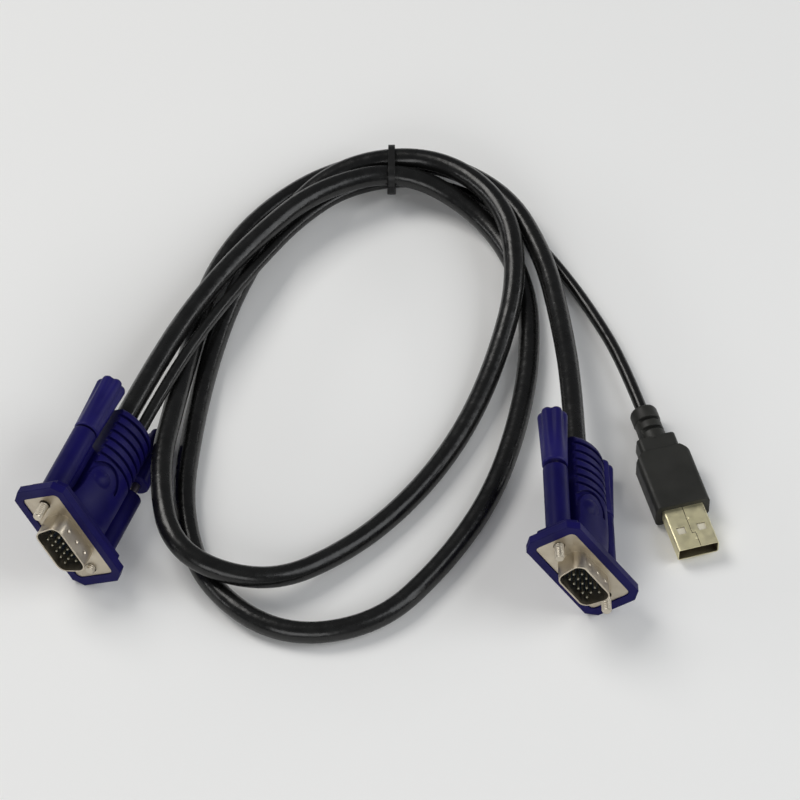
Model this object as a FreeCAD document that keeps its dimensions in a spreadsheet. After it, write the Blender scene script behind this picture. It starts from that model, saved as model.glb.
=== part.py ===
import FreeCAD, Part
import math, os

V = FreeCAD.Vector
doc = FreeCAD.newDocument("kvm_cable")

# ---------------------------------------------------------------- numbers (mm, degrees)
NUM = dict(
    # plug front: flange plate and D skirt
    plate_wide=30.8, plate_tall=12.5, plate_thick=0.5, hole_dia=3.2, screw_offset=12.5,
    skirt_wide=16.92, skirt_tall=8.36, skirt_wall=0.45, skirt_long=5.9, skirt_round=2.4,
    dimple_ball=2.4, dimple_step=4.2,
    # insulator, pins, rear shell, inner mould
    front_boss=0.8, rear_skirt_wide=18.3, rear_skirt_tall=10.0, rear_skirt_wall=0.4, rear_skirt_long=3.6,
    block_depth=5.0, pin_dia=0.78, pin_front=5.2, pin_rear=8.0, pin_pitch=2.29, row_pitch=1.98,
    mould_wide=11.6, mould_tall=7.4, mould_end=22.0,
    # hood
    rim_wide=36.8, rim_tall=17.4, rim_front=0.3, rim_back=2.2, rim_corner=2.75,
    tier_wide=32.2, tier_tall=13.6, tier_back=5.2, tier_corner=2.2, recess_gap=0.1,
    column_dia=7.0, column_end=28.1, guide_dia=2.6, guide_long=4.0, clear_dia=3.4,
    web_tall=2.4, boot_end=43.2,
    rib_first=25.58, rib_step=3.04, rib_gap=1.15, rib_deep=0.9, rib_half=8.5,
    arch_outer=5.7, arch_inner=4.3, arch_deep=0.9, arch_centre=17.9, boss_ball=4.0, boss_rise=0.9, boss_centre=17.6, boss_side=3.2,
    # thumbscrews
    knob_long=19.7, knob_front_dia=7.3, knob_rear_dia=8.6, knob_round=1.4, lobe_deep=0.8,
    shaft_dia=2.5, thread_dia=2.84, thread_long=5.0, shaft_long=51.0,
    # usb plug
    usb_wide=12.0, usb_tall=4.5, usb_wall=0.3, usb_out=14.4, usb_in=3.6, usb_round=0.7,
    win_side=2.4, win_offset=3.0, win_from=5.3,
    tongue_wide=11.3, tongue_tall=1.95, tongue_back=3.6, contact_wide=1.0, contact_tall=0.3,
    usb_body_wide=16.0, usb_body_tall=8.0, usb_body_end=35.0, usb_shoulder_wide=11.4, usb_shoulder_tall=7.4, usb_shoulder_end=39.8,
    relief_wide=7.8, relief_end=51.5, collar_wide=8.0, collar_long=4.4,
    usb_mould_wide=12.6, usb_mould_tall=5.6, usb_mould_end=31.0,
    # cables and tie
    thick_dia=6.2, thin_dia=3.5, tie_at=-2.5, tie_wide=2.0, tie_thick=0.9, tie_gap=0.32,
    # how the plugs lie
    plug_pitch=4.8, plug_roll=57.5, stand_height=18.84,
    pc_x=-92.41, pc_y=-62.82, pc_yaw=-20.43,
    switch_x=50.57, switch_y=-74.79, switch_yaw=1.04,
    usb_x=84.0, usb_y=-57.05, usb_z=4.0, usb_yaw=16.0,
    frame_x=-8.627, frame_y=-44.092,
)
dims = doc.addObject("Spreadsheet::Sheet", "dims")
for i, (k, v) in enumerate(NUM.items(), 1):
    dims.set("A%d" % i, k)
    dims.set("B%d" % i, repr(float(v)))
    dims.setAlias("B%d" % i, k)
doc.recompute()


def D(text):
    """Puts the sheet's name before each alias in an expression."""
    out = []
    for word in text.replace("(", " ( ").replace(")", " ) ").split():
        out.append("dims." + word if word in NUM else word)
    return " ".join(out)


# ---------------------------------------------------------------- small builders
def put(o, x, y, z):
    for axis, e in zip("xyz", (x, y, z)):
        o.setExpression("Placement.Base." + axis, D(e))
    return o


def box(name, sx, sy, sz, z, x="0", y="0"):
    o = doc.addObject("Part::Box", name)
    o.setExpression("Length", D(sx))
    o.setExpression("Width", D(sy))
    o.setExpression("Height", D(sz))
    return put(o, "( %s ) - ( %s ) / 2" % (x, sx), "( %s ) - ( %s ) / 2" % (y, sy), z)


def cyl(name, dia, long, z, x="0", y="0"):
    o = doc.addObject("Part::Cylinder", name)
    o.setExpression("Radius", D("( %s ) / 2" % dia))
    o.setExpression("Height", D(long))
    return put(o, x, y, z)


def ball(name, dia, x, y, z):
    o = doc.addObject("Part::Sphere", name)
    o.setExpression("Radius", D("( %s ) / 2" % dia))
    return put(o, x, y, z)


def cross_cyl(name, dia, long, x, y, z):
    """Cylinder along the plug's broad-face direction."""
    o = doc.addObject("Part::Cylinder", name)
    o.setExpression("Radius", D("( %s ) / 2" % dia))
    o.setExpression("Height", D(long))
    o.Placement = FreeCAD.Placement(V(0, 0, 0), FreeCAD.Rotation(V(1, 0, 0), -90))
    return put(o, x, y, z)


def diamond(name, reach, sz, z):
    """Square on its corner: trims the four corners of a rectangle."""
    o = doc.addObject("Part::Box", name)
    o.setExpression("Length", D("( %s ) * 1.4142135624" % reach))
    o.setExpression("Width", D("( %s ) * 1.4142135624" % reach))
    o.setExpression("Height", D(sz))
    o.Placement = FreeCAD.Placement(V(0, 0, 0), FreeCAD.Rotation(V(0, 0, 1), 45))
    return put(o, "0", "0 - ( %s )" % reach, z)


def fuse(name, *parts):
    o = doc.addObject("Part::MultiFuse", name)
    o.Shapes = list(parts)
    o.Refine = True
    return o


def cut(name, base, tool):
    o = doc.addObject("Part::Cut", name)
    o.Base, o.Tool = base, tool
    o.Refine = True
    return o


def common(name, a, b):
    o = doc.addObject("Part::MultiCommon", name)
    o.Shapes = [a, b]
    return o


def group(name, parts):
    o = doc.addObject("Part::Compound", name)
    o.Links = list(parts)
    return o


def rounded(name, base, radius, pick, kind="Fillet"):
    doc.recompute()
    o = doc.addObject("Part::" + kind, name)
    o.Base = base
    o.Edges = [(i, radius, radius) for i, e in enumerate(base.Shape.Edges, 1) if pick(e)]
    return o


def along_z(e):
    a, b = e.Vertexes[0].Point, e.Vertexes[-1].Point
    return len(e.Vertexes) == 2 and abs(a.x - b.x) < 1e-6 and abs(a.y - b.y) < 1e-6


def prism(name, pts, z, long):
    p = doc.addObject("Part::Polygon", name + "_outline")
    p.Nodes = [V(x, y, 0) for x, y in pts]
    p.Close = True
    o = doc.addObject("Part::Extrusion", name)
    o.Base = p
    o.DirMode = "Custom"
    o.Dir = V(0, 0, 1)
    o.setExpression("LengthFwd", D(long))
    o.Solid = True
    return put(o, "0", "0", z)


def slab(name, pts, half):
    """Outline in the x-z plane, given to both sides along y."""
    p = doc.addObject("Part::Polygon", name + "_outline")
    p.Nodes = [V(x, -half, z) for x, z in pts]
    p.Close = True
    o = doc.addObject("Part::Extrusion", name)
    o.Base = p
    o.DirMode = "Custom"
    o.Dir = V(0, 1, 0)
    o.LengthFwd = 2 * half
    o.Solid = True
    return o


def turned(name, profile, x=0.0, y=0.0):
    """Solid of revolution about an axis along z through (x, y); profile of (radius, z)."""
    p = doc.addObject("Part::Polygon", name + "_profile")
    p.Nodes = [V(x + r, y, z) for r, z in profile]
    p.Close = True
    o = doc.addObject("Part::Revolution", name)
    o.Source = p
    o.Axis = V(0, 0, 1)
    o.Base = V(x, y, 0)
    o.Angle = 360
    o.Solid = True
    return o


def loft(name, sections):
    parts = []
    for i, (z, a, b) in enumerate(sections):
        e = doc.addObject("Part::Ellipse", "%s_s%d" % (name, i))
        big, small = max(a, b), min(a, b)
        e.MajorRadius, e.MinorRadius = big, small
        turn = 0 if a >= b else 90
        e.Placement = FreeCAD.Placement(V(0, 0, z), FreeCAD.Rotation(V(0, 0, 1), turn))
        parts.append(e)
    o = doc.addObject("Part::Loft", name)
    o.Sections = parts
    o.Solid = True
    o.Ruled = False
    return o


def lobed(name, sections, x, turn):
    """Loft through outlines of six lobes; each section is z, outer radius and groove depth."""
    parts = []
    for i, (z, r, deep) in enumerate(sections):
        pts = []
        for k in range(72):
            t = math.radians(5 * k + turn)
            q = r - deep * (0.5 - 0.5 * math.cos(math.radians(30 * k))) ** 1.8
            pts.append(V(x + q * math.cos(t), q * math.sin(t), z))
        curve = Part.BSplineCurve()
        curve.interpolate(Points=pts, PeriodicFlag=True)
        o = doc.addObject("Part::Feature", "%s_s%d" % (name, i))
        o.Shape = Part.Wire([curve.toShape()])
        parts.append(o)
    o = doc.addObject("Part::Loft", name)
    o.Sections = parts
    o.Solid = True
    o.Ruled = True
    return o


def d_points(grow):
    half, tall = NUM["skirt_wide"] / 2 + grow, NUM["skirt_tall"] / 2 + grow
    low = half - 2 * tall * math.tan(math.radians(10))
    return [(-half, tall), (-low, -tall), (low, -tall), (half, tall)]


def d_block(name, grow, z, long):
    raw = prism(name + "_raw", d_points(grow), z, long)
    return rounded(name, raw, NUM["skirt_round"] + grow, along_z)


nodes = []


def place_at(x, y, z, yaw, pitch, roll):
    turn = (FreeCAD.Rotation(V(0, 0, 1), yaw) * FreeCAD.Rotation(V(1, 0, 0), 90 - pitch)
            * FreeCAD.Rotation(V(0, 0, 1), -roll))
    return FreeCAD.Placement(V(x - NUM["frame_x"], y - NUM["frame_y"], z), turn)


def node(o, label, place=None):
    if place is not None:
        o.Placement = place
    o.Label = label
    nodes.append((o, label))
    return o


PIN_AT = []
for row, shift in ((1, 0.0), (0, -0.5), (-1, 0.0)):
    for k in range(-2, 3):
        PIN_AT.append(((k + 0.25 + shift) * NUM["pin_pitch"], row * NUM["row_pitch"]))


# ---------------------------------------------------------------- one D plug
def d_plug(tag, place, end_sections, screws):
    n = tag + "_"
    # flange plate with its D skirt
    plate = rounded(n + "plate", box(n + "plate_raw", "plate_wide", "plate_tall", "plate_thick", "0 - plate_thick"), 1.6, along_z)
    skin = d_block(n + "skin", NUM["skirt_wall"], "0 - plate_thick", "skirt_long + plate_thick")
    core = d_block(n + "core", 0.0, "0 - plate_thick - 1", "skirt_long + plate_thick + 2")
    holes = [cyl(n + "plate_hole%d" % i, "hole_dia", "plate_thick + 2", "0 - plate_thick - 1", s + "screw_offset") for i, s in enumerate(("", "0 - "))]
    dents = []
    for side, sgn in (("upper", ""), ("lower", "0 - ")):
        for k in (-1, 0, 1):
            dents.append(ball(n + "dent_%s%d" % (side, k + 1), "dimple_ball", "%d * dimple_step" % k,
                              sgn + "( skirt_tall / 2 + skirt_wall + dimple_ball / 2 - 0.22 )", "3.1"))
    shell = cut(n + "front", fuse(n + "front_solid", plate, skin), group(n + "front_tools", [core] + holes + dents))
    node(shell, n + "front_shell", place)

    # rear shell, clinched behind the plate
    back = rounded(n + "back", box(n + "back_raw", "plate_wide", "plate_tall", "plate_thick", "0 - 2 * plate_thick"), 1.6, along_z)
    rear = rounded(n + "rear", box(n + "rear_raw", "rear_skirt_wide", "rear_skirt_tall", "rear_skirt_long", "0 - 2 * plate_thick - rear_skirt_long"), 1.0, along_z)
    hollow = rounded(n + "hollow", box(n + "hollow_raw", "rear_skirt_wide - 2 * rear_skirt_wall", "rear_skirt_tall - 2 * rear_skirt_wall",
                                       "rear_skirt_long + 1", "0 - 2 * plate_thick - rear_skirt_long - 1"), 0.6, along_z)
    core2 = d_block(n + "core2", 0.0, "0 - 2 * plate_thick - 1", "3")
    holes2 = [cyl(n + "back_hole%d" % i, "hole_dia", "3", "0 - 2 * plate_thick - 1", s + "screw_offset") for i, s in enumerate(("", "0 - "))]
    node(cut(n + "rear_cut", fuse(n + "rear_solid", back, rear), group(n + "rear_tools", [hollow, core2] + holes2)), n + "rear_shell", place)

    # insulator, with the fifteen pins through it
    boss = d_block(n + "boss", 0.0, "0 - 2 * plate_thick", "front_boss + 2 * plate_thick")
    block = rounded(n + "block", box(n + "block_raw", "rear_skirt_wide - 2 * rear_skirt_wall", "rear_skirt_tall - 2 * rear_skirt_wall",
                                     "block_depth - 2 * plate_thick", "0 - block_depth"), 0.6, along_z)
    bores = group(n + "pin_bores", [cyl(n + "pin_bore%d" % i, "pin_dia", "pin_rear + 3", "0 - pin_rear", "%.4f" % x, "%.4f" % y)
                                    for i, (x, y) in enumerate(PIN_AT)])
    node(cut(n + "ins_cut", fuse(n + "ins_solid", boss, block), bores), n + "insulator", place)
    r, zf, zr = NUM["pin_dia"] / 2, NUM["pin_front"], -NUM["pin_rear"]
    pins = [turned(n + "pin%d" % i, [(0, zr), (r, zr), (r, zf - 0.45), (r * 0.78, zf - 0.15), (r * 0.4, zf), (0, zf)], x, y)
            for i, (x, y) in enumerate(PIN_AT)]
    node(group(n + "pin_group", pins), n + "pins", place)

    # inner mould over the solder side
    mould = rounded(n + "mould", box(n + "mould_raw", "mould_wide", "mould_tall", "mould_end - block_depth", "0 - mould_end"), 1.2, along_z)
    bores2 = group(n + "mould_bores", [cyl(n + "mould_bore%d" % i, "pin_dia", "pin_rear", "0 - pin_rear", "%.4f" % x, "%.4f" % y)
                                       for i, (x, y) in enumerate(PIN_AT)])
    node(cut(n + "mould_cut", mould, bores2), n + "inner_mould", place)

    # hood: rim, tier, two screw columns, barrel and ribbed boot in one moulding
    rim = common(n + "rim", box(n + "rim_raw", "rim_wide", "rim_tall", "rim_front + rim_back", "0 - rim_back"),
                 diamond(n + "rim_trim", "rim_wide / 2 + rim_tall / 2 - rim_corner", "rim_front + rim_back", "0 - rim_back"))
    tier = common(n + "tier", box(n + "tier_raw", "tier_wide", "tier_tall", "tier_back - rim_back + 0.5", "0 - tier_back"),
                  diamond(n + "tier_trim", "tier_wide / 2 + tier_tall / 2 - tier_corner", "tier_back - rim_back + 0.5", "0 - tier_back"))
    columns = [cyl(n + "column%d" % i, "column_dia", "column_end - rim_back", "0 - column_end", s + "screw_offset") for i, s in enumerate(("", "0 - "))]
    web = box(n + "web", "2 * screw_offset", "web_tall", "column_end - rim_back - 1.4", "1.4 - column_end")
    front_part = [(-4.8, 10.3, 6.75), (-6.6, 10.2, 6.1), (-9.5, 10.2, 6.25), (-15.0, 10.2, 6.8), (-21.0, 10.1, 6.95), (-27.0, 10.0, 6.95)]
    rounds = loft(n + "rounds", front_part + end_sections)
    flats = slab(n + "flats", [(-9.9, -4.8), (-9.9, -5.4), (-8.2, -8.6), (-7.6, -12.5), (-7.6, -44), (7.6, -44), (7.6, -12.5), (8.2, -8.6), (9.9, -5.4), (9.9, -4.8)], 9.0)
    barrel = common(n + "barrel", rounds, flats)
    bosses = [ball(n + "boss%d" % i, "2 * boss_ball", t + "boss_side", s + "( 6.45 + boss_rise - boss_ball )", "0 - boss_centre") for i, (s, t) in enumerate((("", "0 - "), ("0 - ", "")))]
    solid = fuse(n + "hood_solid", rim, tier, columns[0], columns[1], web, barrel, bosses[0], bosses[1])
    # ribs: slots across the two broad faces, following the boot's section
    deep = NUM["rib_deep"]
    inner = loft(n + "rib_core", [(z, a - deep, b - deep) for z, a, b in [(-23.0, 10.1, 6.95)] + [(-27.0, 10.0, 6.95)] + end_sections[:-2]])
    slots = group(n + "slots", [box(n + "slot%d" % k, "2 * rib_half", "20", "rib_gap", "0 - rib_first - %d * rib_step" % k) for k in range(6)])
    ribs = cut(n + "rib_cut", slots, inner)
    # arch round the boss, a groove of even depth
    deep = NUM["arch_deep"]
    arch_core = loft(n + "arch_core", [(z, a - deep, b - deep) for z, a, b in front_part[2:]])
    arches = []
    for i, (y0, t) in enumerate((("2", "0 - "), ("0 - 10", ""))):
        ring = cut(n + "arch_ring%d" % i, cross_cyl(n + "arch_o%d" % i, "2 * arch_outer", "8", t + "boss_side", y0, "0 - arch_centre"),
                   cross_cyl(n + "arch_i%d" % i, "2 * arch_inner", "8", t + "boss_side", y0, "0 - arch_centre"))
        half = common(n + "arch_half%d" % i, ring, box(n + "arch_box%d" % i, "16", "22", "9", "0 - arch_centre - 8.2", t + "boss_side"))
        arches.append(cut(n + "arch%d" % i, half, arch_core))
    # seat for the plates, room for the rear shell, the inner mould and the screws
    seat = rounded(n + "seat", box(n + "seat_raw", "plate_wide + recess_gap", "plate_tall + recess_gap", "2 * plate_thick + rim_front + 1", "0 - 2 * plate_thick"), 1.6, along_z)
    room = rounded(n + "room", box(n + "room_raw", "rear_skirt_wide", "rear_skirt_tall", "block_depth - 2 * plate_thick + 0.2", "0 - block_depth"), 1.0, along_z)
    deep_room = rounded(n + "deep_room", box(n + "deep_room_raw", "mould_wide", "mould_tall", "mould_end - block_depth + 0.2", "0 - mould_end"), 1.2, along_z)
    guides = [cyl(n + "guide%d" % i, "guide_dia", "column_end", "0 - column_end - 0.5", s + "screw_offset") for i, s in enumerate(("", "0 - "))]
    clears = [cyl(n + "clear%d" % i, "clear_dia", "column_end - guide_long", "guide_long - column_end", s + "screw_offset") for i, s in enumerate(("", "0 - "))]
    tools = group(n + "hood_tools", [seat, room, deep_room, ribs] + arches + guides + clears)
    node(cut(n + "hood_cut", solid, tools), n + "hood", place)

    # thumbscrews: lobed knob pressed on a steel jackscrew, whose neck keeps it in the column
    for label, sx, tip, gap, turn in screws:
        m = n + label + "_"
        x = sx * NUM["screw_offset"]
        zf = -NUM["column_end"] - gap
        zr = zf - NUM["knob_long"]
        ra, rb, rr, deep = NUM["knob_front_dia"] / 2, NUM["knob_rear_dia"] / 2, NUM["knob_round"], NUM["lobe_deep"]
        outline = []
        for t in (0, 20, 40, 60, 90):
            r = rb - rr + rr * math.sin(math.radians(t))
            outline.append((zr + rr - rr * math.cos(math.radians(t)), r, deep * r / rb))
        outline += [(zr + 0.45 * NUM["knob_long"], 0.5 * (ra + rb), 0.6 * deep), (zf - 2.0, ra + 0.03, 0.1 * deep), (zf - 0.5, ra, 0.0), (zf, ra - 0.3, 0.0)]
        knob = lobed(m + "knob_body", outline, x, turn)
        rear = tip - NUM["shaft_long"]
        bore = cyl(m + "bore", "shaft_dia", "%.3f" % (zf - rear + 1), "%.3f" % rear, "%.3f" % x)
        node(cut(m + "knob_cut", knob, bore), m + "knob", place)
        rs, rt = NUM["shaft_dia"] / 2, NUM["thread_dia"] / 2
        start = tip - NUM["thread_long"]
        node(turned(m + "screw_body", [(0, rear), (rs, rear), (rs, start), (rt, start + 0.3), (rt, tip - 0.35), (rt - 0.35, tip), (0, tip)], x), m + "screw", place)


PC = place_at(NUM["pc_x"], NUM["pc_y"], NUM["stand_height"], NUM["pc_yaw"], NUM["plug_pitch"], NUM["plug_roll"])
SW = place_at(NUM["switch_x"], NUM["switch_y"], NUM["stand_height"], NUM["switch_yaw"], NUM["plug_pitch"], NUM["plug_roll"])
US = place_at(NUM["usb_x"], NUM["usb_y"], NUM["usb_z"], NUM["usb_yaw"], 0.0, 0.0)

BOOT = [(-33.0, 9.9, 6.95), (-39.0, 9.8, 6.9), (-41.8, 9.7, 6.85), (-42.8, 9.2, 6.4), (-43.2, 8.6, 5.8)]
d_plug("pc", PC, BOOT, (("upper", -1, 5.4, 0.9, -11.0), ("lower", 1, 1.3, 5.0, -2.5)))
d_plug("switch", SW, BOOT, (("upper", -1, 4.6, 1.7, 3.0), ("lower", 1, 5.9, 0.4, -2.5)))


# ---------------------------------------------------------------- the USB plug
def usb_plug(place):
    outer = rounded("usb_outer", box("usb_outer_raw", "usb_wide", "usb_tall", "usb_out + usb_in", "0 - usb_out - usb_in"), NUM["usb_round"], along_z)
    inner = rounded("usb_inner", box("usb_inner_raw", "usb_wide - 2 * usb_wall", "usb_tall - 2 * usb_wall", "usb_out + usb_in + 2", "0 - usb_out - usb_in - 1"), NUM["usb_round"] - 0.3, along_z)
    windows = [box("usb_window%d" % i, "win_side", "20", "win_side", "0 - win_from - win_side", s + "win_offset") for i, s in enumerate(("", "0 - "))]
    seam = [box("usb_seam0", "0.2", "0.46", "usb_out - 5", "0 - usb_out", "0 - 0.3", "usb_tall / 2"),
            box("usb_seam1", "1.2", "0.46", "0.2", "0 - 5.1", "0.2", "usb_tall / 2"),
            box("usb_seam2", "0.2", "0.46", "6", "0 - 5", "0.7", "usb_tall / 2")]
    dents = [ball("usb_dent%d" % i, "1.7", "%.1f" % x, "usb_tall / 2 + 0.68", "0 - %.1f" % z) for i, (x, z) in enumerate(((-0.1, 10.3), (0.4, 2.6)))]
    node(cut("usb_shell_cut", outer, group("usb_shell_tools", [inner] + seam + windows + dents)), "usb_shell", place)

    top = "usb_tall / 2 - usb_wall"
    tongue = box("usb_tongue_raw", "tongue_wide", "tongue_tall", "usb_out + usb_in - tongue_back", "0 - usb_out - usb_in", "0", "%s - tongue_tall / 2" % top)
    tongue = rounded("usb_tongue_round", tongue, 0.5, lambda e: along_z(e) and e.Vertexes[0].Point.y > 1.5)
    strips, beds = [], []
    for i, (x, z0) in enumerate(((-3.5, 4.6), (-1.0, 5.4), (1.0, 5.4), (3.5, 4.6))):
        for what, lst in (("contact", strips), ("bed", beds)):
            lst.append(box("usb_%s%d" % (what, i), "contact_wide", "contact_tall", "usb_out + usb_in - %.2f" % (z0 + 2.0), "0 - usb_out - usb_in + 2.0",
                           "%.3f" % x, "%s - tongue_tall + contact_tall / 2 - 0.1" % top))
    node(cut("usb_tongue_cut", tongue, group("usb_beds", beds)), "usb_tongue", place)
    node(group("usb_contact_group", strips), "usb_contacts", place)

    mould = rounded("usb_mould", box("usb_mould_raw", "usb_mould_wide", "usb_mould_tall", "usb_mould_end - usb_out - usb_in", "0 - usb_mould_end"), 1.0, along_z)
    node(mould, "usb_inner_mould", place)

    body = rounded("usb_body_sides", box("usb_body_raw", "usb_body_wide", "usb_body_tall", "usb_body_end - usb_out", "0 - usb_body_end"), 2.4,
                   lambda e: abs(e.Vertexes[0].Point.z + 35.0) < 1e-6 and abs(e.Vertexes[-1].Point.z + 35.0) < 1e-6
                   and abs(e.Vertexes[0].Point.x - e.Vertexes[-1].Point.x) < 1e-6, "Chamfer")
    body = rounded("usb_body", body, 1.7, along_z)
    shoulder = rounded("usb_shoulder", box("usb_shoulder_raw", "usb_shoulder_wide", "usb_shoulder_tall", "usb_shoulder_end - usb_body_end + 1", "0 - usb_shoulder_end"), 1.5, along_z)
    w, end = NUM["relief_wide"] / 2, -NUM["relief_end"]
    c, cl = NUM["collar_wide"] / 2, NUM["collar_long"]
    neck = turned("usb_neck", [(0, -39.2), (w, -39.2), (w - 0.1, end + cl + 0.4), (c, end + cl - 0.1), (c, end + 0.9), (c - 0.25, end + 0.35), (c - 0.8, end), (0, end)])
    slots = []
    for k, (z0, thick, y0) in enumerate(((-47.0, 1.1, 3.9), (-43.6, 1.3, 3.9))):
        for i, s in enumerate((1, -1)):
            slots.append(box("usb_slot%d_%d" % (k, i), "20", "3", "%.2f" % thick, "%.2f" % z0, "0", "%.2f" % (s * y0)))
    solid = fuse("usb_solid", body, shoulder, neck)
    shell_room = rounded("usb_shell_room", box("usb_shell_room_raw", "usb_wide", "usb_tall", "usb_in + 2", "0 - usb_out - usb_in"), NUM["usb_round"], along_z)
    mould_room = rounded("usb_mould_room", box("usb_mould_room_raw", "usb_mould_wide", "usb_mould_tall", "usb_mould_end - usb_out - usb_in", "0 - usb_mould_end"), 1.0, along_z)
    node(cut("usb_over_cut", solid, group("usb_over_tools", [shell_room, mould_room] + slots)), "usb_overmould", place)


usb_plug(US)

# ---------------------------------------------------------------- the two cables
THICK = [(-58.15, 27.62, 12.72), (-43.33, 49.83, 11.97), (-25.07, 69.67, 12.21), (0.91, 79.53, 10.5), (25.15, 65.53, 5.15), (37.12, 41.31, 3.12),
         (38.03, 14.32, 3.24), (33.9, -12.25, 3.62), (25.87, -38.09, 3.33), (12.2, -61.32, 3.12), (-6.16, -82.15, 3.38), (-33.62, -86.48, 3.41),
         (-55.31, -67.83, 3.12), (-62.11, -41.34, 3.38), (-59.7, -14.41, 3.63), (-55.4, 12.1, 3.14), (-48.5, 38.06, 3.12), (-36.78, 62.15, 5.19),
         (-17.83, 82.01, 9.14), (10.5, 84.25, 11.16), (31.05, 65.06, 12.1), (34.66, 37.79, 9.77), (28.41, 11.83, 5.25), (18.84, -13.36, 3.25),
         (4.73, -36.56, 3.12), (-13.85, -56.15, 3.47), (-37.22, -71.56, 7.32), (-63.56, -64.56, 12.7), (-68.6, -36.16, 13.16), (-64.47, -9.65, 11.02),
         (-60.46, 16.78, 4.7), (-55.67, 43.89, 3.19), (-41.72, 67.62, 3.12), (-20.16, 84.77, 3.49), (7.48, 88.59, 5.06), (31.16, 73.16, 7.07),
         (42.33, 48.15, 7.55), (46.79, 21.61, 9.22)]
THIN = [(-58.98, 12.12, 12.97), (-49.83, 29.12, 11.31), (-40.05, 45.76, 9.2), (-29.72, 62.15, 6.59), (-16.03, 76.47, 4.01), (3.24, 81.83, 2.92),
        (22.25, 76.19, 2.2), (36.79, 62.79, 1.78), (47.9, 46.63, 1.77), (57.1, 29.36, 2.06)]


def leave(place, x, y, z, ahead):
    return [place.multVec(V(x, y, z)), place.multVec(V(x, y, z - ahead))]


def shifted(pts):
    return [V(x - NUM["frame_x"], y - NUM["frame_y"], z) for x, y, z in pts]


END = -NUM["boot_end"]
thick_pts = leave(PC, -2.2, -0.6, END, 26.6) + shifted(THICK) + leave(SW, 0, 0, END, 26.6)[::-1]
thin_pts = leave(PC, 1.6, 3.4, END, 19.2) + shifted(THIN) + leave(US, 0, 0, -NUM["relief_end"], 19.2)[::-1]


def tube(name, pts, dia):
    edges, radii, at, total = [], [], pts[0], 0.0
    for i in range(1, len(pts) - 1):
        a, p, b = pts[i - 1], pts[i], pts[i + 1]
        u1, u2 = (p - a), (b - p)
        l1, l2 = u1.Length, u2.Length
        u1.normalize()
        u2.normalize()
        turn = u1.getAngle(u2)
        t = 0.45 * min(l1, l2)
        r = t / math.tan(turn / 2)
        radii.append(r)
        n = u2 - u1
        n.normalize()
        p0, p1 = p - u1 * t, p + u2 * t
        mid = p + n * (r / math.cos(turn / 2) - r)
        edges.append(Part.LineSegment(at, p0).toShape())
        edges.append(Part.Arc(p0, mid, p1).toShape())
        total += (p0 - at).Length + r * turn
        at = p1
    edges.append(Part.LineSegment(at, pts[-1]).toShape())
    total += (pts[-1] - at).Length
    spine = Part.Wire(edges)
    first = pts[1] - pts[0]
    ring = Part.Wire([Part.makeCircle(dia / 2, pts[0], first)])
    solid = spine.makePipeShell([ring], True, False)
    o = doc.addObject("Part::Feature", name)
    o.Shape = solid
    area = math.pi * dia * dia / 4
    print(name, "length %.1f" % total, "least radius %.1f" % min(radii), "all", [round(x) for x in radii],
          "volume ratio %.4f" % (solid.Volume / (area * total)), "solid", solid.ShapeType, len(solid.Solids))
    return o


node(tube("video_cable_tube", thick_pts, NUM["thick_dia"]), "video_cable")
node(tube("usb_cable_tube", thin_pts, NUM["thin_dia"]), "usb_cable")

# ---------------------------------------------------------------- the tie round the four strands
rt, rn = NUM["thick_dia"] / 2, NUM["thin_dia"] / 2
STRANDS = [(76.62, 10.45, rt), (80.0, 3.25, rn), (87.01, 4.47, rt), (83.18, 10.2, rt)]


def hull(grow, x):
    ring = [(y - NUM["frame_y"], z, r + grow) for y, z, r in STRANDS]
    normals = []
    for i in range(len(ring)):
        (y1, z1, r1), (y2, z2, r2) = ring[i], ring[(i + 1) % len(ring)]
        dy, dz = y2 - y1, z2 - z1
        far = math.hypot(dy, dz)
        cb = (r1 - r2) / far
        sb = math.sqrt(1 - cb * cb)
        normals.append(((dy * cb + dz * sb) / far, (dz * cb - dy * sb) / far))
    edges = []
    for i in range(len(ring)):
        y, z, r = ring[i]
        na, nb = normals[i - 1], normals[i]
        my, mz = na[0] + nb[0], na[1] + nb[1]
        m = math.hypot(my, mz)
        p = [V(x, y + q[0] * r, z + q[1] * r) for q in (na, (my / m, mz / m), nb)]
        edges.append(Part.Arc(p[0], p[1], p[2]).toShape())
        y2, z2, r2 = ring[(i + 1) % len(ring)]
        edges.append(Part.LineSegment(p[2], V(x, y2 + nb[0] * r2, z2 + nb[1] * r2)).toShape())
    return Part.Face(Part.Wire(edges))


tx = NUM["tie_at"] - NUM["frame_x"] - NUM["tie_wide"] / 2
outer = hull(NUM["tie_gap"] + NUM["tie_thick"], tx).extrude(V(NUM["tie_wide"], 0, 0))
inside = hull(NUM["tie_gap"], tx).extrude(V(NUM["tie_wide"], 0, 0))
head = Part.makeBox(2.6, 3.4, 2.2, V(-1.3, -1.7, 0))
head = head.makeFillet(0.45, head.Edges)
reach = rt + NUM["tie_gap"] + NUM["tie_thick"] - 0.75
front = V(0, -0.788, -0.616)
head.Placement = FreeCAD.Placement(V(tx + NUM["tie_wide"] / 2, STRANDS[0][0] - NUM["frame_y"], STRANDS[0][1]) + front * reach,
                                   FreeCAD.Rotation(V(0, 0, 1), front))
strap = outer.fuse(head).cut(inside).removeSplitter()
tie = doc.addObject("Part::Feature", "tie")
tie.Shape = strap.Solids[0]
node(tie, "cable_tie")

# ---------------------------------------------------------------- checks and files
doc.recompute()
bad = []
for o in doc.Objects:
    if "Invalid" in o.State or "Error" in o.State:
        bad.append((o.Name, o.State))
for o, label in nodes:
    if o.Shape.isNull() or not o.Shape.isValid() or not o.Shape.Solids:
        bad.append((label, "shape"))
if bad:
    raise RuntimeError("not built: %s" % bad)

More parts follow.
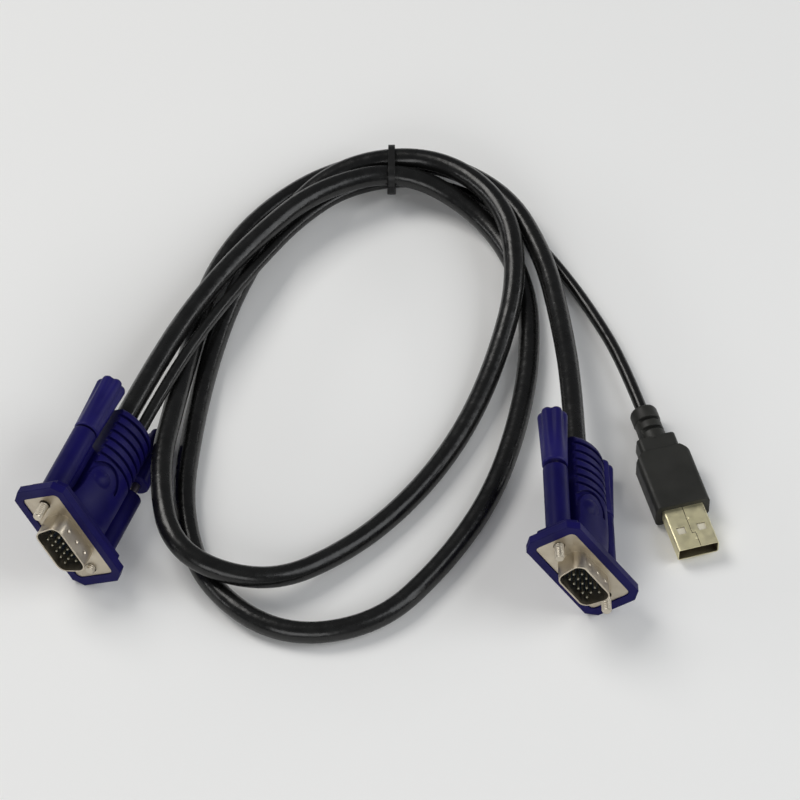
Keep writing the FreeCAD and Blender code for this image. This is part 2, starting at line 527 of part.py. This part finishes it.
os.makedirs("parts", exist_ok=True)
low, high = [1e9] * 3, [-1e9] * 3
for o, label in nodes:
    pts = o.Shape.tessellate(0.02)[0]
    lo = [min(p[k] for p in pts) for k in range(3)]
    hi = [max(p[k] for p in pts) for k in range(3)]
    print("%-24s solids %2d volume %9.2f  z %.3f..%.3f" % (label, len(o.Shape.Solids), o.Shape.Volume, lo[2], hi[2]))
    if label not in ("video_cable", "usb_cable", "cable_tie"):
        low = [min(a, b) for a, b in zip(low, lo)]
        high = [max(a, b) for a, b in zip(high, hi)]
    o.Shape.exportStep("parts/%s.step" % label)
print("plugs", [round(v, 3) for v in low], [round(v, 3) for v in high], "centre", round((low[0] + high[0]) / 2, 4), round((low[1] + high[1]) / 2, 4))
print("thick", [tuple(round(c, 3) for c in p) for p in thick_pts])
print("thin", [tuple(round(c, 3) for c in p) for p in thin_pts])
print("nodes", len(nodes))
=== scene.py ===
import math

import bpy
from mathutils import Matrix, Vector


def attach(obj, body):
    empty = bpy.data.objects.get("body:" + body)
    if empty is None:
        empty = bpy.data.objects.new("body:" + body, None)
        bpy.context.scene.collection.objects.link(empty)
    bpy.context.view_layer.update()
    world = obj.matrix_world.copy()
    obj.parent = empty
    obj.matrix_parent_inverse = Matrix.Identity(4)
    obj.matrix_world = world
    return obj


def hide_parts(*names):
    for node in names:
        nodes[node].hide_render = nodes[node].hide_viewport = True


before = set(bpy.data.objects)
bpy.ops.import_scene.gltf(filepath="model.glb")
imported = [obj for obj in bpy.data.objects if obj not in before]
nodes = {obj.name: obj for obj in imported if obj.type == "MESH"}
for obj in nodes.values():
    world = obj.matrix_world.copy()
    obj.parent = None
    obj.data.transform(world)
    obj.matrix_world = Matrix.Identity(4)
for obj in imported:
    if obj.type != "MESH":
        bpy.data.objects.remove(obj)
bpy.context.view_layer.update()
scene = bpy.context.scene

# ------------------------------------------------------------------ camera at the photograph's angle
cam_data = bpy.data.cameras.new("camera")
cam_data.lens = 218.8
cam_data.sensor_width = 36.0
cam_data.clip_start = 0.05
cam_data.clip_end = 20.0
cam = bpy.data.objects.new("camera", cam_data)
scene.collection.objects.link(cam)
cam.location = (0.008627, -0.822018, 1.10857)
cam.rotation_euler = (math.radians(38.0), 0.0, 0.0)
scene.camera = cam
scene.view_settings.view_transform = "Standard"

# ------------------------------------------------------------------ the two cables
THICK = [
    (-0.070294, 0.022322, 0.016753), (-0.061041, 0.047162, 0.014527), (-0.049523, 0.071712, 0.012720), (-0.034703, 0.093922, 0.011970),
    (-0.016443, 0.113762, 0.012210), (0.009537, 0.123622, 0.010500), (0.033777, 0.109622, 0.005150), (0.045747, 0.085402, 0.003120),
    (0.046657, 0.058412, 0.003240), (0.042527, 0.031842, 0.003620), (0.034497, 0.006002, 0.003330), (0.020827, -0.017228, 0.003120),
    (0.002467, -0.038058, 0.003380), (-0.024993, -0.042388, 0.003410), (-0.046683, -0.023738, 0.003120), (-0.053483, 0.002752, 0.003380),
    (-0.051073, 0.029682, 0.003630), (-0.046773, 0.056192, 0.003140), (-0.039873, 0.082152, 0.003120), (-0.028153, 0.106242, 0.005190),
    (-0.009203, 0.126102, 0.009140), (0.019127, 0.128342, 0.011160), (0.039677, 0.109152, 0.012100), (0.043287, 0.081882, 0.009770),
    (0.037037, 0.055922, 0.005250), (0.027467, 0.030732, 0.003250), (0.013357, 0.007532, 0.003120), (-0.005223, -0.012058, 0.003470),
    (-0.028593, -0.027468, 0.007320), (-0.054933, -0.020468, 0.012700), (-0.059973, 0.007932, 0.013160), (-0.055843, 0.034442, 0.011020),
    (-0.051833, 0.060872, 0.004700), (-0.047043, 0.087982, 0.003190), (-0.033093, 0.111712, 0.003120), (-0.011533, 0.128862, 0.003490),
    (0.016107, 0.132682, 0.005060), (0.039787, 0.117252, 0.007070), (0.050957, 0.092242, 0.007550), (0.055417, 0.065702, 0.009220),
    (0.057935, 0.038846, 0.012999), (0.058416, 0.012343, 0.015225),
]
THIN = [
    (-0.065250, 0.020349, 0.015701), (-0.058571, 0.038278, 0.014094), (-0.050353, 0.056212, 0.012970), (-0.041203, 0.073212, 0.011310),
    (-0.031423, 0.089852, 0.009200), (-0.021093, 0.106242, 0.006590), (-0.007403, 0.120562, 0.004010), (0.011867, 0.125922, 0.002920),
    (0.030877, 0.120282, 0.002200), (0.045417, 0.106882, 0.001780), (0.056527, 0.090722, 0.001770), (0.065727, 0.073452, 0.002060),
    (0.073139, 0.055003, 0.004000), (0.078432, 0.036547, 0.004000),
]


def cable(name, points, diameter):
    data = bpy.data.curves.new(name, "CURVE")
    data.dimensions = "3D"
    line = data.splines.new("NURBS")
    line.points.add(len(points) - 1)
    for p, q in zip(line.points, points):
        p.co = (q[0], q[1], q[2], 1.0)
        p.radius = diameter / 2
    line.order_u = 3
    line.use_endpoint_u = True
    line.resolution_u = 14
    data.resolution_u = 14
    data.bevel_depth = 1.0
    data.bevel_resolution = 8
    data.use_fill_caps = True
    obj = bpy.data.objects.new(name, data)
    scene.collection.objects.link(obj)
    return obj


video = cable("video_jacket", THICK, 0.0062)
usb = cable("usb_jacket", THIN, 0.0035)
for piece, node in ((video, "video_cable"), (usb, "usb_cable")):
    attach(piece, "lead")
    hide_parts(node)


# ------------------------------------------------------------------ jackscrews with their threads
def plug_pose(x, y, z, yaw, pitch, roll):
    """Where a plug stands: its own z is the way it points, x runs across the two screws."""
    yaw, pitch, roll = (math.radians(v) for v in (yaw, pitch, roll))
    ahead = Vector((math.sin(yaw) * math.cos(pitch), -math.cos(yaw) * math.cos(pitch), math.sin(pitch)))
    side = Vector((math.cos(yaw), math.sin(yaw), 0.0))
    up = side.cross(ahead)
    if up.z < 0:
        up = -up
    across = math.cos(roll) * side - math.sin(roll) * up
    return Vector((x, y, z)), across, ahead.cross(across), ahead


def jackscrew(name, pose, side, tip):
    """A plain shaft with a right-hand 4-40 thread on its last 5 mm and a small lead-in at the tip."""
    origin, ex, ey, ez = pose
    pitch, root, crest, around = 0.635, 1.13, 1.42, 40
    levels = [tip - 51.0, tip - 5.0] + [tip - 5.0 + 0.0625 * k for k in range(1, 81)]
    verts, faces = [], []
    for z in levels:
        for j in range(around):
            t = 2 * math.pi * j / around
            r = 1.25
            if z > tip - 5.0 + 1e-6:
                turn = (z / pitch - j / around) % 1.0
                r = root + (crest - root) * min(1.0, 1.3 * (1.0 - abs(2.0 * turn - 1.0)))
                r = min(r, 1.05 + tip - z, 1.25 + (z - tip + 5.0))
            p = origin + 0.001 * ((side * 12.5 + r * math.cos(t)) * ex + r * math.sin(t) * ey + z * ez)
            verts.append(p)
    for k in range(len(levels) - 1):
        for j in range(around):
            i = (j + 1) % around
            faces.append((k * around + j, k * around + i, (k + 1) * around + i, (k + 1) * around + j))
    faces.append(tuple(reversed(range(around))))
    faces.append(tuple(range((len(levels) - 1) * around, len(levels) * around)))
    mesh = bpy.data.meshes.new(name)
    mesh.from_pydata(verts, [], faces)
    for poly in mesh.polygons[:-2]:
        poly.use_smooth = True
    mesh.update()
    obj = bpy.data.objects.new(name, mesh)
    scene.collection.objects.link(obj)
    return obj


PC = plug_pose(-0.083783, -0.018728, 0.01884, -20.43, 4.8, 57.5)
SWITCH = plug_pose(0.059197, -0.030698, 0.01884, 1.04, 4.8, 57.5)
screws = []
for label, pose, side, tip in (("pc_upper", PC, -1, 5.4), ("pc_lower", PC, 1, 1.3), ("switch_upper", SWITCH, -1, 4.6), ("switch_lower", SWITCH, 1, 5.9)):
    piece = jackscrew(label + "_threaded", pose, side, tip)
    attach(piece, label + "_thumbscrew")
    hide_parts(label + "_screw")
    screws.append(piece)


# ------------------------------------------------------------------ materials
def start(name, colour, rough, metal=0.0, spec=0.5):
    m = bpy.data.materials.new(name)
    m.use_nodes = True
    nt = m.node_tree
    b = nt.nodes["Principled BSDF"]
    b.inputs["Base Color"].default_value = (*colour, 1.0)
    b.inputs["Roughness"].default_value = rough
    b.inputs["Metallic"].default_value = metal
    b.inputs["Specular IOR Level"].default_value = spec
    return m, nt, b


def noise(nt, scale, detail=3.0, rough=0.5, stretch=None):
    tc = nt.nodes.new("ShaderNodeTexCoord")
    n = nt.nodes.new("ShaderNodeTexNoise")
    n.inputs["Scale"].default_value = scale
    n.inputs["Detail"].default_value = detail
    n.inputs["Roughness"].default_value = rough
    if stretch is not None:
        mp = nt.nodes.new("ShaderNodeMapping")
        mp.inputs["Rotation"].default_value = stretch[0]
        mp.inputs["Scale"].default_value = stretch[1]
        nt.links.new(tc.outputs["Object"], mp.inputs["Vector"])
        nt.links.new(mp.outputs["Vector"], n.inputs["Vector"])
    else:
        nt.links.new(tc.outputs["Object"], n.inputs["Vector"])
    return n.outputs["Fac"]


def ramp(nt, fac, low, high, a=0.3, b=0.7):
    r = nt.nodes.new("ShaderNodeMapRange")
    r.inputs["From Min"].default_value = a
    r.inputs["From Max"].default_value = b
    r.inputs["To Min"].default_value = low
    r.inputs["To Max"].default_value = high
    nt.links.new(fac, r.inputs["Value"])
    return r.outputs["Result"]


def blend(nt, fac, c1, c2, a=0.3, b=0.7):
    r = nt.nodes.new("ShaderNodeValToRGB")
    r.color_ramp.elements[0].position = a
    r.color_ramp.elements[1].position = b
    r.color_ramp.elements[0].color = (*c1, 1.0)
    r.color_ramp.elements[1].color = (*c2, 1.0)
    nt.links.new(fac, r.inputs["Fac"])
    return r.outputs["Color"]


def bump(nt, b, height, strength, distance, edge=None):
    n = nt.nodes.new("ShaderNodeBump")
    n.inputs["Strength"].default_value = strength
    n.inputs["Distance"].default_value = distance
    nt.links.new(height, n.inputs["Height"])
    if edge:
        e = nt.nodes.new("ShaderNodeBevel")
        e.samples = 6
        e.inputs["Radius"].default_value = edge
        nt.links.new(e.outputs["Normal"], n.inputs["Normal"])
    nt.links.new(n.outputs["Normal"], b.inputs["Normal"])


def moulded(name, dark, light, rough, edge, grain=1500.0, strength=0.12, spec=0.5):
    """Moulded plastic: slight colour drift, uneven gloss, a fine skin, and softened edges."""
    m, nt, b = start(name, light, rough, 0.0, spec)
    nt.links.new(blend(nt, noise(nt, 90.0, 3.0), dark, light), b.inputs["Base Color"])
    nt.links.new(ramp(nt, noise(nt, 240.0, 4.0), rough - 0.06, rough + 0.07), b.inputs["Roughness"])
    bump(nt, b, noise(nt, grain, 2.0), strength, 0.00006, edge)
    return m


def plated(name, dark, light, rough, edge, along=None, painted_shade_depth=None):
    """Plated sheet metal: faint stains and drawn lines, and, if a depth is given, painted shade that darkens its
    hollows.
    """
    m, nt, b = start(name, light, rough, 1.0, 0.5)
    colour = blend(nt, noise(nt, 160.0, 4.0), dark, light)
    if painted_shade_depth:
        # Painted shade: ambient occlusion on the part itself mixes the colour toward a dark brown in its hollows,
        # such as a shell's mouth, latch windows and seam.
        shade_occlusion = nt.nodes.new("ShaderNodeAmbientOcclusion")
        shade_occlusion.samples = 8
        shade_occlusion.only_local = True
        shade_occlusion.inputs["Distance"].default_value = painted_shade_depth
        mix = nt.nodes.new("ShaderNodeMix")
        mix.data_type = "RGBA"
        mix.inputs[6].default_value = (0.14, 0.115, 0.078, 1.0)
        nt.links.new(ramp(nt, shade_occlusion.outputs["AO"], 0.0, 1.0, 0.45, 0.92), mix.inputs[0])
        nt.links.new(colour, mix.inputs[7])
        colour = mix.outputs[2]
    nt.links.new(colour, b.inputs["Base Color"])
    nt.links.new(ramp(nt, noise(nt, 420.0, 4.0), rough - 0.07, rough + 0.1), b.inputs["Roughness"])
    bump(nt, b, noise(nt, 700.0, 3.0, 0.5, along), 0.08, 0.00004, edge)
    return m


hood = moulded("hood_vinyl", (0.0042, 0.0030, 0.056), (0.0072, 0.0052, 0.082), 0.42, 0.0004, spec=0.13)
knob = moulded("knob_plastic", (0.0080, 0.0060, 0.076), (0.0125, 0.0098, 0.106), 0.40, 0.00035, spec=0.17)
dark = moulded("insulator_plastic", (0.0025, 0.0075, 0.0155), (0.0050, 0.0115, 0.0225), 0.5, 0.0001, spec=0.16)
body = moulded("usb_vinyl", (0.020, 0.020, 0.018), (0.030, 0.030, 0.027), 0.46, 0.0005, 2200.0, 0.2, spec=0.25)
tongue = moulded("tongue_plastic", (0.60, 0.56, 0.44), (0.70, 0.66, 0.53), 0.5, 0.0001)
mould = moulded("inner_plastic", (0.62, 0.61, 0.57), (0.70, 0.69, 0.65), 0.55, 0.0003)
strap = moulded("tie_nylon", (0.008, 0.008, 0.008), (0.014, 0.014, 0.014), 0.4, 0.0003, spec=0.3)
plate = plated("shell_plate", (0.49, 0.43, 0.34), (0.62, 0.56, 0.45), 0.40, 0.00015)
# The USB shell's last argument paints shade: a dark brown mixed into its mouth, latch windows and seam wherever the
# shell hems itself in within 8 mm.
usb_plate = plated("usb_plate", (0.73, 0.68, 0.44), (0.84, 0.78, 0.53), 0.50, 0.00008, ((0, 0, math.radians(16.0)), (6.0, 0.4, 1.0)), 0.008)
steel = plated("screw_plate", (0.50, 0.45, 0.36), (0.64, 0.58, 0.48), 0.36, 0.00005)
gold = plated("contact_gold", (0.30, 0.29, 0.22), (0.40, 0.38, 0.30), 0.42, 0.00005)


def jacket_material():
    """Glossy cable jacket: a slow waviness from the twisted cores, and dust-fine unevenness in the gloss."""
    m, nt, b = start("jacket_vinyl", (0.007, 0.007, 0.007), 0.25, 0.0, 0.42)
    nt.links.new(blend(nt, noise(nt, 130.0, 4.0), (0.0045, 0.0045, 0.0044), (0.0085, 0.0085, 0.0082)), b.inputs["Base Color"])
    nt.links.new(ramp(nt, noise(nt, 300.0, 5.0), 0.20, 0.32), b.inputs["Roughness"])
    bump(nt, b, noise(nt, 230.0, 2.0), 0.45, 0.0004)
    return m


jacket = jacket_material()


def paint(obj, material):
    obj.data.materials.clear()
    obj.data.materials.append(material)


paint(video, jacket)
paint(usb, jacket)
for piece in screws:
    paint(piece, steel)
LOOK = {
    "front_shell": plate, "rear_shell": plate, "insulator": dark, "pins": gold, "inner_mould": mould, "hood": hood,
    "upper_knob": knob, "lower_knob": knob, "upper_screw": steel, "lower_screw": steel,
}
for plug in ("pc_", "switch_"):
    for n, m in LOOK.items():
        paint(nodes[plug + n], m)
for n, m in (("usb_shell", usb_plate), ("usb_tongue", tongue), ("usb_contacts", gold), ("usb_inner_mould", mould), ("usb_overmould", body),
             ("cable_tie", strap), ("video_cable", jacket), ("usb_cable", jacket)):
    paint(nodes[n], m)

# ------------------------------------------------------------------ floor and light
floor_mesh = bpy.data.meshes.new("floor")
s = 4.0
floor_mesh.from_pydata([(-s, -s, 0), (s, -s, 0), (s, s, 0), (-s, s, 0)], [], [(0, 1, 2, 3)])
floor = bpy.data.objects.new("floor", floor_mesh)
scene.collection.objects.link(floor)
floor.location.z = -0.0001
fm, fnt, fb = start("floor_paper", (0.90, 0.90, 0.89), 0.75, 0.0, 0.2)
paint(floor, fm)

world = bpy.data.worlds.new("studio")
scene.world = world
world.use_nodes = True
world.node_tree.nodes["Background"].inputs["Color"].default_value = (0.92, 0.95, 1.0, 1.0)
world.node_tree.nodes["Background"].inputs["Strength"].default_value = 0.15


def lamp(name, loc, aim, size, power, colour=(1, 1, 1)):
    d = bpy.data.lights.new(name, "AREA")
    d.shape = "RECTANGLE"
    d.size, d.size_y = size
    d.energy = power
    d.color = colour
    o = bpy.data.objects.new(name, d)
    scene.collection.objects.link(o)
    o.location = loc
    v = [a - b for a, b in zip(aim, loc)]
    o.rotation_euler = Vector(v).to_track_quat("-Z", "Y").to_euler()
    return o


lamp("key", (-0.75, 0.55, 1.15), (0.0, 0.04, 0.0), (0.7, 0.7), 9.5, (1.0, 0.98, 0.95))
lamp("fill", (0.95, -0.15, 0.85), (0.0, 0.04, 0.0), (0.8, 0.8), 5.2, (0.96, 0.98, 1.0))
lamp("left strip", (-1.0, 0.1, 0.32), (0.0, 0.04, 0.0), (0.9, 0.16), 1.8)
lamp("right strip", (1.0, 0.1, 0.32), (0.0, 0.04, 0.0), (0.9, 0.16), 1.8)
lamp("front", (-0.2, -1.0, 0.55), (0.0, 0.0, 0.0), (0.9, 0.5), 4.0)

bpy.context.view_layer.update()
